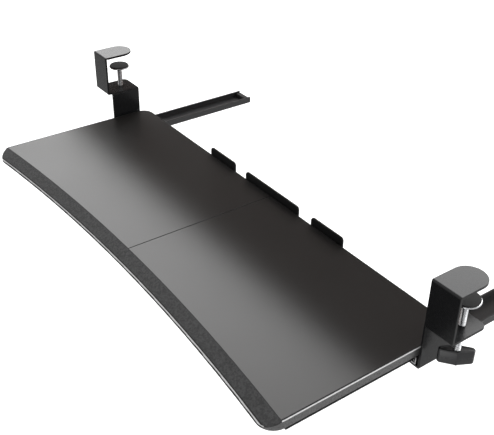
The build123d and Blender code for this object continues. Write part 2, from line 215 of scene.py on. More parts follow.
def grainedStrip():
    # leather-grained strip, darker along its two edges: painted shade in the grain's pits, at the inner
    # crease, and over and under the nose, which carries a painted highlight
    look = Finish("grainedStrip", IOR=1.42)
    x, y, level = look.axis("X"), look.axis("Y"), look.axis("Z")
    radial = (x * x + (y - stripLook["arcCentre"] * mm) ** 2.0) ** 0.5 - stripLook["arcRadius"] * mm
    warp, mottle = look.noise(stripLook["warp"], 2.0), look.noise(stripLook["mottle"], 2.5, 0.6)
    fine = look.noise(stripLook["fine"], 2.0, 0.6)
    pits = look.ramp(look.cells(1 / (stripLook["grain"] * mm), "DISTANCE_TO_EDGE"), 0.02, 0.16)
    patches = look.ramp(mottle * 0.7 + warp * 0.3, 0.42, 0.58)
    tone = look.blend(patches, stripLook["darkTone"], stripLook["tone"])
    # painted shade in the grain's pits
    tone = look.blend((1 - pits) * 0.6, tone, stripLook["creaseShadeTone"])
    inner = look.band(radial, (stripLook["run"] - 1.3) * mm, (stripLook["run"] + 2) * mm, 0.3 * mm)
    # painted shade along the inner crease where the bevel meets the deck
    tone = look.blend(inner * 0.75, tone, stripLook["creaseShadeTone"])
    # painted highlight along the rolled nose; painted shade in a dark band over it and on the lip under it
    low, high = (edge * mm for edge in stripLook["noseHighlight"])
    noseHighlight = look.band(level, low, high, 0.2 * mm) * look.band(radial, -1 * mm, 3.2 * mm, 0.3 * mm)
    groove = look.band(level, high, high + stripLook["groove"] * mm, 0.2 * mm)
    lip = look.band(level, stripLook["lip"] * mm, low, 0.2 * mm)
    tone = look.blend(lip + groove * 0.9, tone, stripLook["lipTone"])
    # painted highlight: a near-white band along the rolled nose
    tone = look.blend(noseHighlight * (0.8 + (mottle - 0.5) * 0.5), tone, stripLook["noseHighlightTone"])
    height = (pits * 0.7 + fine * 0.5) * (1 - noseHighlight)
    rough = stripLook["roughness"] + (mottle - 0.5) * 0.2 - noseHighlight * 0.25 + groove * 0.4
    return look.use(Base_Color=tone, Roughness=rough, Normal=look.bump(height, stripLook["grainHeight"]))


coatLook = {
    "tone": (0.0052, 0.0054, 0.0058), "roughness": 0.26, "sparkle": 1.7, "peel": 625.0, "peelHeight": 0.022,
    "fine": 5200.0, "marks": 38.0,
}


def powderCoat(name, base=coatLook["tone"], roughness=coatLook["roughness"]):
    # baked powder coat: orange peel with a finer sparkle in it, and faint handling marks
    look = Finish(name, IOR=1.34)
    peel, fine = look.noise(coatLook["peel"]), look.noise(coatLook["fine"], 1.0)
    marks = look.ramp(look.noise(coatLook["marks"], 4.0, 0.7), 0.45, 0.75)
    tone = look.blend(fine, base, tuple(coatLook["sparkle"] * part for part in base))
    rough = roughness + (fine - 0.5) * 0.08 + marks * 0.025
    grain = look.bump(peel + fine * 0.18, coatLook["peelHeight"])
    return look.use(Base_Color=tone, Roughness=rough, Normal=grain)


slideLook = {
    "tone": (0.020, 0.020, 0.0205), "lightTone": (0.034, 0.034, 0.035), "rubTone": (0.12, 0.12, 0.12),
    "cutTone": (0.62, 0.62, 0.63), "roughness": 0.36, "cut": 0.25, "lines": (2600.0, 24.0, 2600.0),
    "lineHeight": 0.02, "fine": 4200.0, "rub": 60.0, "rubStretch": (1.0, 0.3, 1.0),
}


def slideSteel(name, ends):
    # thin black coat on rolled strip, with lines drawn along Y and bright sheared ends
    look = Finish(name, IOR=1.5)
    y, deep = look.axis("Y"), slideLook["cut"] * mm
    lines = look.noise(1.0, 3.0, 0.6, look.stretched(slideLook["lines"]))
    fine = look.noise(slideLook["fine"], 1.0)
    rub = look.noise(slideLook["rub"], 3.0, 0.6, look.stretched(slideLook["rubStretch"]))
    rub = look.ramp(rub, 0.62, 0.78)
    front, rear = (look.band(y, end * mm - deep, end * mm + deep, 0.06 * mm) for end in ends)
    cut = front + rear
    tone = look.blend(lines, slideLook["tone"], slideLook["lightTone"])
    tone = look.blend(rub * 0.3, tone, slideLook["rubTone"])
    tone = look.blend(cut, tone, slideLook["cutTone"])
    rough = slideLook["roughness"] + (lines - 0.5) * 0.25 + fine * 0.05 - cut * 0.08
    return look.use(Base_Color=tone, Roughness=rough, Metallic=cut,
                    Normal=look.bump(lines, slideLook["lineHeight"]))


screwLook = {
    "tone": (0.022, 0.022, 0.023), "lightTone": (0.045, 0.045, 0.047), "bareTone": (0.30, 0.30, 0.31),
    "roughness": 0.36, "metallic": 0.55, "grain": 1800.0, "grainHeight": 0.02, "rub": 420.0,
}


def blackScrews():
    # oil-blackened steel, with bare metal where a driver has rubbed
    look = Finish("blackenedSteel", IOR=1.5)
    grain = look.noise(screwLook["grain"], 3.0, 0.6)
    rub = look.ramp(look.noise(screwLook["rub"], 2.0), 0.60, 0.72)
    tone = look.blend(grain, screwLook["tone"], screwLook["lightTone"])
    tone = look.blend(rub * 0.5, tone, screwLook["bareTone"])
    return look.use(Base_Color=tone, Roughness=screwLook["roughness"] + (grain - 0.5) * 0.2,
                    Metallic=screwLook["metallic"] + rub * 0.4,
                    Normal=look.bump(grain, screwLook["grainHeight"]))


zincLook = {
    "tone": (0.66, 0.67, 0.70), "warmTone": (0.82, 0.82, 0.80), "crystalTone": (0.58, 0.59, 0.62),
    "roughness": 0.22, "crystals": 900.0, "stain": 140.0, "turned": (60.0, 60.0, 5200.0),
    "turnedHeight": 0.012,
}


def zincPlate():
    # bright zinc: fine crystalline mottle and turning marks round Z
    look = Finish("zincPlate", Metallic=1.0)
    crystals = look.cells(zincLook["crystals"])
    turned = look.noise(1.0, 2.0, 0.5, look.stretched(zincLook["turned"]))
    tone = look.blend(look.noise(zincLook["stain"], 3.0), zincLook["tone"], zincLook["warmTone"])
    tone = look.blend(crystals * 0.5, tone, zincLook["crystalTone"])
    rough = zincLook["roughness"] + (turned - 0.5) * 0.14 + crystals * 0.08
    return look.use(Base_Color=tone, Roughness=rough, Normal=look.bump(turned, zincLook["turnedHeight"]))


cageLook = {
    "tone": (0.46, 0.46, 0.46), "lightTone": (0.64, 0.64, 0.63), "greaseTone": (0.30, 0.26, 0.19),
    "roughness": 0.30, "lines": (3200.0, 40.0, 3200.0), "lineHeight": 0.01, "grease": 120.0,
}


def cageSteel():
    # plain pressed strip with a film of grease
    look = Finish("pressedSteel", Metallic=1.0)
    lines = look.noise(1.0, 3.0, 0.6, look.stretched(cageLook["lines"]))
    grease = look.ramp(look.noise(cageLook["grease"], 3.0), 0.48, 0.66)
    tone = look.blend(lines, cageLook["tone"], cageLook["lightTone"])
    tone = look.blend(grease * 0.6, tone, cageLook["greaseTone"])
    rough = cageLook["roughness"] + (lines - 0.5) * 0.2 - grease * 0.1
    return look.use(Base_Color=tone, Roughness=rough, Normal=look.bump(lines, cageLook["lineHeight"]))


ballLook = {
    "tone": (0.80, 0.80, 0.81), "greaseTone": (0.42, 0.37, 0.27), "roughness": 0.07, "grease": 260.0,
    "fine": 3000.0,
}


def bearingSteel():
    # polished balls, dulled here and there by grease
    look = Finish("bearingSteel", Metallic=1.0)
    grease = look.ramp(look.noise(ballLook["grease"], 3.0), 0.50, 0.68)
    tone = look.blend(grease, ballLook["tone"], ballLook["greaseTone"])
    rough = ballLook["roughness"] + grease * 0.16 + look.noise(ballLook["fine"], 1.0) * 0.03
    return look.use(Base_Color=tone, Roughness=rough)


rubberLook = {
    "tone": (0.016, 0.016, 0.016), "dustTone": (0.036, 0.035, 0.034), "roughness": 0.68, "dust": 90.0,
    "skin": 2600.0, "skinHeight": 0.04,
}


def bumperRubber():
    # moulded rubber with a little dust on it
    look = Finish("bumperRubber", IOR=1.52)
    skin = look.noise(rubberLook["skin"], 2.0)
    tone = look.blend(look.noise(rubberLook["dust"], 4.0, 0.7), rubberLook["tone"], rubberLook["dustTone"])
    return look.use(Base_Color=tone, Roughness=rubberLook["roughness"] + (skin - 0.5) * 0.2,
                    Normal=look.bump(skin, rubberLook["skinHeight"]))


foamLook = {
    "tone": (0.008, 0.008, 0.008), "lightTone": (0.030, 0.030, 0.030), "roughness": 0.86, "pores": 1900.0,
    "large": 800.0, "poreHeight": 0.14,
}


def foamCells():
    # closed-cell foam: open pores at the cut face
    look = Finish("closedCellFoam", IOR=1.45)
    pores = look.ramp(look.cells(foamLook["pores"]), 0.10, 0.42)
    tone = look.blend(pores, foamLook["tone"], foamLook["lightTone"])
    height = pores * 0.7 + look.cells(foamLook["large"]) * 0.3
    return look.use(Base_Color=tone, Roughness=foamLook["roughness"] + (pores - 0.5) * 0.1,
                    Normal=look.bump(height, foamLook["poreHeight"]))


knobLook = {
    "tone": (0.011, 0.011, 0.012), "lightTone": (0.022, 0.022, 0.023), "roughness": 0.30, "eroded": 3600.0,
    "erodedHeight": 0.03, "flow": 70.0,
}


def knobPlastic():
    # moulded black plastic with a fine eroded texture and faint flow marks
    look = Finish("knobPlastic", IOR=1.5)
    eroded, flow = look.noise(knobLook["eroded"], 2.0, 0.6), look.noise(knobLook["flow"], 2.0)
    tone = look.blend(flow * 0.6 + eroded * 0.4, knobLook["tone"], knobLook["lightTone"])
    rough = knobLook["roughness"] + (eroded - 0.5) * 0.18 + (flow - 0.5) * 0.08
    return look.use(Base_Color=tone, Roughness=rough, Normal=look.bump(eroded, knobLook["erodedHeight"]))


beechLook = {
    "tone": (0.50, 0.33, 0.19), "lightTone": (0.70, 0.53, 0.35), "fleckTone": (0.30, 0.17, 0.09),
    "roughness": 0.62, "grain": (70.0, 1500.0, 1500.0), "flecks": (420.0, 5200.0, 5200.0),
    "grainHeight": 0.04,
}


def beechWood():
    # turned beech: growth lines along X and short dark flecks
    look = Finish("beech", IOR=1.45)
    grain = look.noise(1.0, 4.0, 0.6, look.stretched(beechLook["grain"]))
    flecks = look.ramp(look.noise(1.0, 1.0, 0.5, look.stretched(beechLook["flecks"])), 0.62, 0.70)
    tone = look.blend(grain, beechLook["tone"], beechLook["lightTone"])
    tone = look.blend(flecks * 0.6, tone, beechLook["fleckTone"])
    return look.use(Base_Color=tone, Roughness=beechLook["roughness"] + (grain - 0.5) * 0.2,
                    Normal=look.bump(grain, beechLook["grainHeight"]))


finishes = {
    "deck": deckLaminate(), "band": edgeBand(), "strip": grainedStrip(),
    "bracket": powderCoat("bracketCoat"), "plate": powderCoat("plateCoat", (0.014, 0.014, 0.0145), 0.34),
    "stop": powderCoat("stopCoat", (0.0035, 0.0035, 0.0037), 0.32),
    "fixedSlide": slideSteel("fixedSlideSteel", (3.0, 253.0)),
    "movingSlide": slideSteel("movingSlideSteel", (-175.0, 60.0)),
    "screw": blackScrews(), "zinc": zincPlate(), "cage": cageSteel(), "ball": bearingSteel(),
    "rubber": bumperRubber(), "foam": foamCells(), "knob": knobPlastic(), "beech": beechWood(),
}
print("scene:", len(finishes), "materials")

carried = {
    "deck": ("board_right", "board_left"), "band": ("edge_band_right", "edge_band_left"),
    "strip": ("wrist_strip",), "plate": ("joining_plate_front", "joining_plate_rear"),
    "bracket": ("bracket_right", "bracket_left"),
    "stop": ("rear_stop_left", "rear_stop_centre", "rear_stop_right"),
    "cage": ("ball_cage_right", "ball_cage_left"), "fixedSlide": ("slide_outer_right", "slide_outer_left"),
    "movingSlide": ("slide_inner_right", "slide_inner_left"),
}
for finish, names in carried.items():
    for name in names:
        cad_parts[name].material_slots[0].material = finishes[finish]
print("scene: materials on", sum(map(len, carried.values())), "kept nodes")

# Mesh helpers

def placed(name, data):
    made = bpy.data.objects.new(name, data)
    bpy.context.collection.objects.link(made)
    return made


def meshPiece(name, points, faces, finish, sharp=32.0):
    mesh = bpy.data.meshes.new(name)
    mesh.from_pydata(points, [], faces)
    work = bmesh.new()
    work.from_mesh(mesh)
    bmesh.ops.remove_doubles(work, verts=work.verts, dist=0.002 * mm)
    bmesh.ops.recalc_face_normals(work, faces=work.faces)
    work.to_mesh(mesh)
    work.free()
    mesh.shade_smooth()
    mesh.set_sharp_from_angle(angle=math.radians(sharp))
    mesh.materials.append(finishes[finish])
    return placed(name, mesh)


def skin(rings, capped=True):
    # faces over a stack of closed rings that have the same number of points
    count = len(rings[0])
    points = [point for ring in rings for point in ring]
    faces = []
    for row in range(len(rings) - 1):
        for step in range(count):
            after = (step + 1) % count
            faces.append((row * count + step, row * count + after,
                          (row + 1) * count + after, (row + 1) * count + step))
    if capped:
        last = (len(rings) - 1) * count
        faces.append(tuple(range(count)))
        faces.append(tuple(range(last, last + count)))
    return points, faces


def turnedRings(profile, centre, count):
    # profile: radius and height pairs in millimetres, from one pole to the other
    turns = [2 * math.pi * step / count for step in range(count)]
    return [[(centre[0] + radius * mm * math.cos(turn), centre[1] + radius * mm * math.sin(turn),
              height * mm) for turn in turns] for radius, height in profile]


threadShape = {"crest": 0.14, "flanks": 0.72}  # as shares of the pitch


def threadRings(bottom, top, radius, pitch, depth, chamfer, centre, count=28, rows=8):
    # a right-handed thread, run out to its root at both ends
    rings = []
    steps = int((top - bottom) / pitch * rows)
    for row in range(steps + 1):
        height = bottom + (top - bottom) * row / steps
        limit = radius - depth + min(height - bottom, top - height) * depth / chamfer
        ring = []
        for step in range(count):
            turn = step / count
            phase = (height / pitch - turn) % 1
            wave = (abs(phase - 0.5) * 2 - threadShape["crest"]) / threadShape["flanks"]
            wave = min(1.0, max(0.0, wave))
            reach = min(radius - depth * wave, max(limit, radius - depth)) * mm
            angle = 2 * math.pi * turn
            ring.append((centre[0] + reach * math.cos(angle),
                         centre[1] + reach * math.sin(angle), height * mm))
        rings.append(ring)
    return rings


def settle(piece, body, node):
    # a finished piece rides on its body and stands for its node
    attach(piece, body)
    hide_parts(node)


def frozen(piece):
    # the evaluated shape as a plain mesh, with the modifiers gone
    graph = bpy.context.evaluated_depsgraph_get()
    mesh = bpy.data.meshes.new_from_object(piece.evaluated_get(graph))
    piece.modifiers.clear()
    piece.data = mesh
    return piece


sides = {"right": 1, "left": -1}
screwLine = {"x": 374.5, "y": 31.5}  # where each clamp screw stands


def screwCentre(side):
    return (side * screwLine["x"] * mm, screwLine["y"] * mm)


# Clamp screws: rolled thread, turned journal and riveted end

clampScrew = {
    "diameter": 8.0, "pitch": 1.25, "depth": 0.72, "chamfer": 0.9, "bottom": -104.5, "threadTop": -31.0,
    "shoulder": -27.6, "journal": 6.0, "rivet": 9.0, "rivetFoot": -23.6, "rivetTop": -22.6,
}


def makeClampScrew(label, side):
    size, centre = clampScrew, screwCentre(side)
    radius, journal, rivet = (size[part] / 2 for part in ("diameter", "journal", "rivet"))
    thread, shoulder, foot, top = (size[part] for part in ("threadTop", "shoulder", "rivetFoot", "rivetTop"))
    rings = threadRings(size["bottom"], thread, radius, size["pitch"], size["depth"], size["chamfer"], centre)
    neck = [
        (radius - size["depth"], thread + 0.25), (radius - 0.15, thread + 0.8), (radius - 0.02, thread + 1.1),
        (radius - 0.02, shoulder - 0.35), (radius - 0.35, shoulder), (journal, shoulder), (journal, foot),
        (rivet - 0.15, foot), (rivet, foot + 0.25), (rivet - 0.25, top - 0.35), (rivet - 1.2, top - 0.08),
        (2.2, top), (1.6, top - 0.25), (0.8, top - 0.35), (0.0, top - 0.35),
    ]
    rings += turnedRings(neck, centre, len(rings[0]))
    piece = meshPiece("clampScrew_" + label, *skin(rings), "zinc", 28.0)
    settle(piece, label + "_screw", "clamp_screw_" + label)


for label, side in sides.items():
    makeClampScrew(label, side)
print("scene: clamp screws")

# Knobs: two wings either side of a ridge, with rounded rims, a moulding line and a dished top

knob = {
    "length": 40.0, "width": 16.0, "height": 19.0, "tip": 4.0, "angle": 50.0, "top": -90.5, "round": 2.0,
    "rim": 2.3, "dish": 0.8, "bore": 4.02, "boreDepth": 14.0,
    # where the ridge is eased, along and inwards; then the moulding line's depth and its edges as shares
    # of the height
    "ridge": ((-1.1, 0.275), (-0.44, 0.10), (0.44, 0.10), (1.1, 0.275)),
    "groove": 0.35, "lineShares": (0.42, 0.44, 0.47, 0.49),
}


def knobRing(inset, height, side, tipSteps=14):
    # the outline drawn in by an even amount; the ridge keeps a small rounding
    half, ridge = knob["length"] / 2, knob["width"] / 2
    centre = half - knob["tip"]
    slope = math.atan2(ridge, centre) - math.asin(knob["tip"] / math.hypot(centre, ridge))
    radius = knob["tip"] - inset
    apex = ridge - inset / math.cos(slope)
    span = math.pi / 2 - slope
    points = []
    for end in (1, -1):
        for step in range(tipSteps + 1):
            angle = span - 2 * span * step / tipSteps
            points.append((end * (centre + radius * math.cos(angle)), end * radius * math.sin(angle)))
        points += [(end * along, -end * (apex - drop)) for along, drop in knob["ridge"]]
    bearing = math.radians(knob["angle"])
    cos, sin = math.cos(bearing), math.sin(bearing)
    return [(side * (x * cos - y * sin + screwLine["x"]) * mm,
             (x * sin + y * cos + screwLine["y"]) * mm, height * mm) for x, y in points]


def makeKnob(label, side):
    size, centre = knob, screwCentre(side)
    top, tall, edge, rim = size["top"], size["height"], size["round"], size["rim"]
    low, dished, floor = top - tall, top - size["dish"], top - size["boreDepth"]
    bow = [(edge * (1 - math.sin(math.radians(angle))), edge * (1 - math.cos(math.radians(angle))))
           for angle in range(0, 91, 18)]
    profile = [(inset, low + rise) for inset, rise in bow]
    profile += [(inset, low + tall * share)
                for inset, share in zip((0.0, size["groove"], size["groove"], 0.0), size["lineShares"])]
    profile += [(inset, top - rise) for inset, rise in reversed(bow)]
    profile += [(rim, top), (rim + 0.25, top - 0.15), (rim + 0.4, dished + 0.2), (rim + 0.6, dished)]
    rings = [knobRing(inset, height, side) for inset, height in profile]
    # from the dish's floor in to the bore, on the outline's own bearings
    turns = [math.atan2(point[1] - centre[1], point[0] - centre[0]) for point in rings[-1]]
    bore = size["bore"]
    for radius, height in ((bore + 0.3, dished), (bore, dished - 0.25), (bore, floor), (0.0, floor)):
        reach = radius * mm
        rings.append([(centre[0] + reach * math.cos(turn), centre[1] + reach * math.sin(turn), height * mm)
                      for turn in turns])
    piece = meshPiece("knob_" + label, *skin(rings), "knob", 30.0)
    settle(piece, label + "_screw", "knob_" + label)


for label, side in sides.items():
    makeKnob(label, side)
print("scene: knobs")

# Pressure discs and their facings

disc = {
    "diameter": 32.0, "thickness": 2.0, "top": -22.5, "hub": 16.0, "hubHeight": 3.0, "bore": 6.1,
    "recess": 9.8, "recessDepth": 1.2,
}
facing = {"diameter": 30.0, "bottom": -22.5, "top": -21.0, "round": 0.35}


def makeDisc(label, side):
    centre = screwCentre(side)
    rim, hub, bore, recess = (disc[part] / 2 for part in ("diameter", "hub", "bore", "recess"))
    top = disc["top"]
    low, floor = top - disc["thickness"], top - disc["recessDepth"]
    foot = low - disc["hubHeight"]
    profile = [
        (bore, foot), (bore + 0.3, foot), (hub - 0.5, foot), (hub - 0.12, foot + 0.14), (hub, foot + 0.5),
        (hub, low - 0.6), (hub + 0.2, low - 0.2), (hub + 0.7, low), (rim - 1.6, low), (rim - 1.3, low + 0.12),
        (rim - 0.5, low + 0.12), (rim - 0.12, low + 0.3), (rim, low + 0.6), (rim, top - 0.5),
        (rim - 0.15, top - 0.15), (rim - 0.5, top), (recess + 0.2, top), (recess, top - 0.2), (recess, floor),
        (bore, floor), (bore, foot),
    ]
    piece = meshPiece("pressureDisc_" + label, *skin(turnedRings(profile, centre, 64), False), "zinc", 28.0)
    settle(piece, label + "_pressure_disc", "pressure_disc_" + label)
    rim, low, top, edge = facing["diameter"] / 2, facing["bottom"], facing["top"], facing["round"]
    profile = [
        (0.0, low), (rim * 0.5, low), (rim - edge, low), (rim - 0.08, low + edge * 0.5), (rim, low + edge),
        (rim, top - edge), (rim - 0.10, top - edge * 0.4), (rim - edge - 0.1, top - 0.02), (rim - 1.6, top),
        (rim * 0.5, top), (0.0, top),
    ]
    pad = meshPiece("discFacing_" + label, *skin(turnedRings(profile, centre, 64)), "foam", 40.0)
    settle(pad, label + "_pressure_disc", "disc_facing_" + label)


for label, side in sides.items():
    makeDisc(label, side)

# Pads under the top plates, cut from foam sheet

topPad = {
    "middle": 372.75, "width": 35.0, "front": 2.25, "shoulder": 31.25, "thickness": 1.5, "corner": 1.2,
    "round": 0.3, "lap": 2.5,
}


def padRing(inset, height, side, steps=40, cornerSteps=6):
    # a half-round far end, straight sides and two small front corners
    half, corner, shoulder = topPad["width"] / 2 - inset, topPad["corner"], topPad["shoulder"]
    front = topPad["front"] + inset
    outline = [(half * math.cos(math.pi * step / steps), shoulder + half * math.sin(math.pi * step / steps))
               for step in range(steps + 1)]
    outline += [(-half, front + (shoulder - front) * share) for share in (0.66, 0.33)]
    for middle, start in ((-half + corner, 180), (half - corner, 270)):
        for step in range(cornerSteps + 1):
            angle = math.radians(start + 90 / cornerSteps * step)
            outline.append((middle + corner * math.cos(angle), front + corner + corner * math.sin(angle)))
    outline += [(half, front + (shoulder - front) * share) for share in (0.33, 0.66)]
    return [(side * (topPad["middle"] + x) * mm, y * mm, height * mm) for x, y in outline]


for label, side in sides.items():
    edge, thick, lap = topPad["round"], topPad["thickness"], topPad["lap"]
    profile = [(lap, 0.0), (edge + 0.15, 0.03), (0.10, edge * 0.6), (0.0, edge * 1.4), (0.04, thick / 2),
               (0.0, thick - edge * 1.2), (0.08, thick - edge * 0.5), (edge, thick), (lap, thick)]
    rings = [padRing(inset, height, side) for inset, height in profile]
    pad = meshPiece("topPad_" + label, *skin(rings), "foam", 45.0)
    settle(pad, "clamps", "top_pad_" + label)
print("scene: discs and pads")

# Nuts, chamfered at both ends

jawNut = {"flats": 13.0, "low": -65.5, "high": -59.0, "bore": 8.1}
slideNut = {"flats": 7.0, "low": -127.7, "high": -124.5, "bore": 4.1, "turn": 0.25, "seed": 21}
# the chamfer's inner width as a share of the flats and its angle, then the bore's lead-in
nutCut = {"share": 0.94, "slope": 30.0, "lead": 0.5}


def nutRings(flats, low, high, bore, centre, perSide=8, turn=0.0):
    count = 6 * perSide
    hole, lead = bore / 2, nutCut["lead"]
    inner, chamfer = flats / 2, flats / 2 * nutCut["share"]

    def ring(radius, height):
        # round, or six-sided where no radius is given, with its corners drawn in by the chamfer
        made = []
        for step in range(count):
            angle, reach, level = 2 * math.pi * step / count, radius, height
            if radius is None:
                reach = inner / math.cos((angle + math.pi / 6) % (math.pi / 3) - math.pi / 6)
                drop = (reach - chamfer) * math.tan(math.radians(nutCut["slope"]))
                level += drop if height == low else -drop
            made.append((centre[0] + reach * mm * math.cos(angle + turn),
                         centre[1] + reach * mm * math.sin(angle + turn), level * mm))
        return made

    return [
        ring(hole, low + lead), ring(hole + lead, low), ring(chamfer, low), ring(None, low),
        ring(None, high), ring(chamfer, high), ring(hole + lead, high), ring(hole, high - lead),
        ring(hole, low + lead),
    ]


for label, side in sides.items():
    rings = nutRings(*jawNut.values(), screwCentre(side), turn=math.pi / 6)
    piece = meshPiece("jawNut_" + label, *skin(rings, False), "zinc", 20.0)
    settle(piece, "clamps", "jaw_nut_" + label)

# Screws: a template for each kind, set in rows with Geometry Nodes

# shares of the head's width, then how much the slots taper
crossRecess = {"reach": 0.58, "width": 0.13, "slotSlope": 0.4}


def crossCut(head, depth, top):
    # a plus-shaped cutter that narrows downwards
    arm, half = head / 2 * crossRecess["reach"], head / 2 * crossRecess["width"]
    slope = crossRecess["slotSlope"]
    plus = [(arm, half), (half, half), (half, arm), (-half, arm), (-half, half), (-arm, half),
            (-arm, -half), (-half, -half), (-half, -arm), (half, -arm), (half, -half), (arm, -half)]
    rings = [[(x * share * mm, y * (1 - slope + slope * share) * mm, height * mm) for x, y in plus]
             for share, height in ((1.12, top + 0.3), (1.0, top), (0.42, top - depth))]
    return meshPiece("crossCut", *skin(rings), "screw")


def screwTemplate(name, size, profile, top, finish, thread=None):
    # a turned blank, optionally threaded below, with a cross recess
    rings = turnedRings(profile, (0, 0), 32)
    if thread:
        rings = threadRings(*thread, (0, 0), 32, 6) + rings
    blank = meshPiece(name, *skin(rings), finish, 30.0)
    cutter = crossCut(size["head"], size["recess"], top)
    cut = blank.modifiers.new("recess", "BOOLEAN")
    cut.object = cutter
    cut.operation = "DIFFERENCE"
    cut.solver = "EXACT"
    frozen(blank)
    bpy.data.objects.remove(cutter)
    blank.data.shade_smooth()
    blank.data.set_sharp_from_angle(angle=math.radians(30))
    return blank


def rowTree(name, *sockets):
    # points in; what the caller links to the instances comes out as real geometry in one material
    tree = bpy.data.node_groups.new(name, "GeometryNodeTree")
    for label, kind in (("Points", "Geometry"), *sockets, ("Finish", "Material")):
        tree.interface.new_socket(label, in_out="INPUT", socket_type="NodeSocket" + kind)
    tree.interface.new_socket("Row", in_out="OUTPUT", socket_type="NodeSocketGeometry")
    new, link = tree.nodes.new, tree.links.new
    given, result = new("NodeGroupInput"), new("NodeGroupOutput")
    onPoints, real = new("GeometryNodeInstanceOnPoints"), new("GeometryNodeRealizeInstances")
    paint = new("GeometryNodeSetMaterial")
    link(given.outputs["Points"], onPoints.inputs["Points"])
    link(onPoints.outputs[0], real.inputs[0])
    link(real.outputs[0], paint.inputs["Geometry"])
    link(given.outputs["Finish"], paint.inputs["Material"])
    link(paint.outputs[0], result.inputs["Row"])
    return tree, given.outputs, onPoints.inputs


def product(tree, socket, factor):
    made = tree.nodes.new("ShaderNodeMath")
    made.operation = "MULTIPLY"
    made.inputs[1].default_value = factor
    tree.links.new(socket, made.inputs[0])
    return made.outputs[0]


def screwTree():
    # a template on every point, aimed one way and turned about itself by a seeded amount
    tree, given, row = rowTree("screwRow", ("Template", "Object"), ("Direction", "Vector"),
                               ("Largest turn", "Float"), ("Seed", "Int"))
    new, link = tree.nodes.new, tree.links.new
    thing, spread = new("GeometryNodeObjectInfo"), new("FunctionNodeRandomValue")
    aimed, about = new("FunctionNodeAlignRotationToVector"), new("FunctionNodeAxisAngleToRotation")
    turned = new("FunctionNodeRotateRotation")
    thing.inputs["As Instance"].default_value = True
    aimed.axis, spread.data_type, turned.rotation_space = "Z", "FLOAT", "LOCAL"
    link(given["Template"], thing.inputs["Object"])
    link(given["Direction"], aimed.inputs["Vector"])
    link(product(tree, given["Largest turn"], -1), spread.inputs[2])
    link(given["Largest turn"], spread.inputs[3])
    link(given["Seed"], spread.inputs["Seed"])
    link(spread.outputs[1], about.inputs["Angle"])
    link(aimed.outputs[0], turned.inputs["Rotation"])
    link(about.outputs[0], turned.inputs["Rotate By"])
    link(thing.outputs["Geometry"], row["Instance"])
    link(turned.outputs[0], row["Rotation"])
    return tree


def ballTree():
    # a ball on every point
    tree, given, row = rowTree("ballRow", ("Diameter", "Float"))
    ball, smooth = tree.nodes.new("GeometryNodeMeshIcoSphere"), tree.nodes.new("GeometryNodeSetShadeSmooth")
    ball.inputs["Subdivisions"].default_value = 4
    tree.links.new(product(tree, given["Diameter"], 0.5), ball.inputs["Radius"])
    tree.links.new(ball.outputs["Mesh"], smooth.inputs["Geometry"])
    tree.links.new(smooth.outputs[0], row["Instance"])
    return tree


trees = {"screws": screwTree(), "balls": ballTree()}


def grow(name, places, tree, inputs):
    # points in millimetres, a tree over them with its named inputs set, then a plain mesh
    mesh = bpy.data.meshes.new(name)
    mesh.from_pydata([tuple(part * mm for part in place) for place in places], [], [])
    piece = placed(name, mesh)
    step = piece.modifiers.new(name, "NODES")
    step.node_group = trees[tree]
    sockets = trees[tree].interface.items_tree
    labels = {socket.name: socket.identifier for socket in sockets if socket.in_out == "INPUT"}
    for label, value in inputs.items():
        step[labels[label]] = value
    return frozen(piece)


def templateRow(name, size, template, places, aim, finish, side=0):
    # copies of a template at the places, each turned by its own seeded amount
    return grow(name, places, "screws", {
        "Template": template, "Direction": aim, "Largest turn": size["turn"], "Seed": size["seed"] + side,
        "Finish": finishes[finish]})


up, down, rearward = (0.0, 0.0, 1.0), (0.0, 0.0, -1.0), (0.0, 1.0, 0.0)
plateScrew = {
    "head": 7.0, "shank": 3.5, "length": 11.0, "point": 2.5, "blunt": 0.5, "recess": 1.5, "turn": 3.0,
    "seed": 4, "x": (-56.0, -22.4, 22.4, 56.0), "y": (-132.0, 13.0), "z": -111.5,
}
stopScrew = {
    "head": 6.5, "height": 2.2, "shank": 3.2, "length": 18.0, "point": 3.0, "blunt": 0.4, "recess": 1.7,
    "turn": 3.0, "seed": 9, "x": (-137.0, -102.0, -46.5, 46.5, 102.0, 137.0), "y": 66.0, "z": -103.0,
}
slideScrew = {
    "head": 7.0, "height": 2.2, "shank": 3.5, "length": 10.0, "point": 2.5, "blunt": 0.4, "recess": 1.7,
    "turn": 3.0, "seed": 12, "x": 327.5, "y": (-156.2, -90.4, -24.6, 41.2), "z": -110.7,
}
slideBolt = {
    "head": 8.0, "shank": 4.0, "recess": 1.6, "pitch": 0.7, "depth": 0.4, "chamfer": 0.5, "neck": 1.0,
    "turn": 3.0, "seed": 2, "x": 327.5, "y": (15.0, 39.0), "top": -120.3, "tail": -128.7,
}


def rod(size):
    # the blunt point and the shank over it
    end = -size["length"]
    return [(0.0, end), (size["blunt"], end), (size["shank"] / 2, end + size["point"])]


def flatHead(size):
    # from the shank out along the cone to the flat top
    return [(size["shank"] / 2, -(size["head"] - size["shank"]) / 2), (size["head"] / 2 - 0.12, -0.12),
            (size["head"] / 2 - 0.05, 0.0), (0.0, 0.0)]


def panHead(size, foot=0.35):
    # a short upright rim, then a dome
    rim, height = size["head"] / 2, size["height"]
    turns = [math.radians(angle) for angle in range(0, 76, 15)]
    dome = [(rim * math.cos(turn), height * foot + height * (1 - foot) * math.sin(turn)) for turn in turns]
    return [(size["shank"] / 2, 0.0), (rim - 0.15, 0.0), (rim, 0.15), *dome, (0.0, height)]


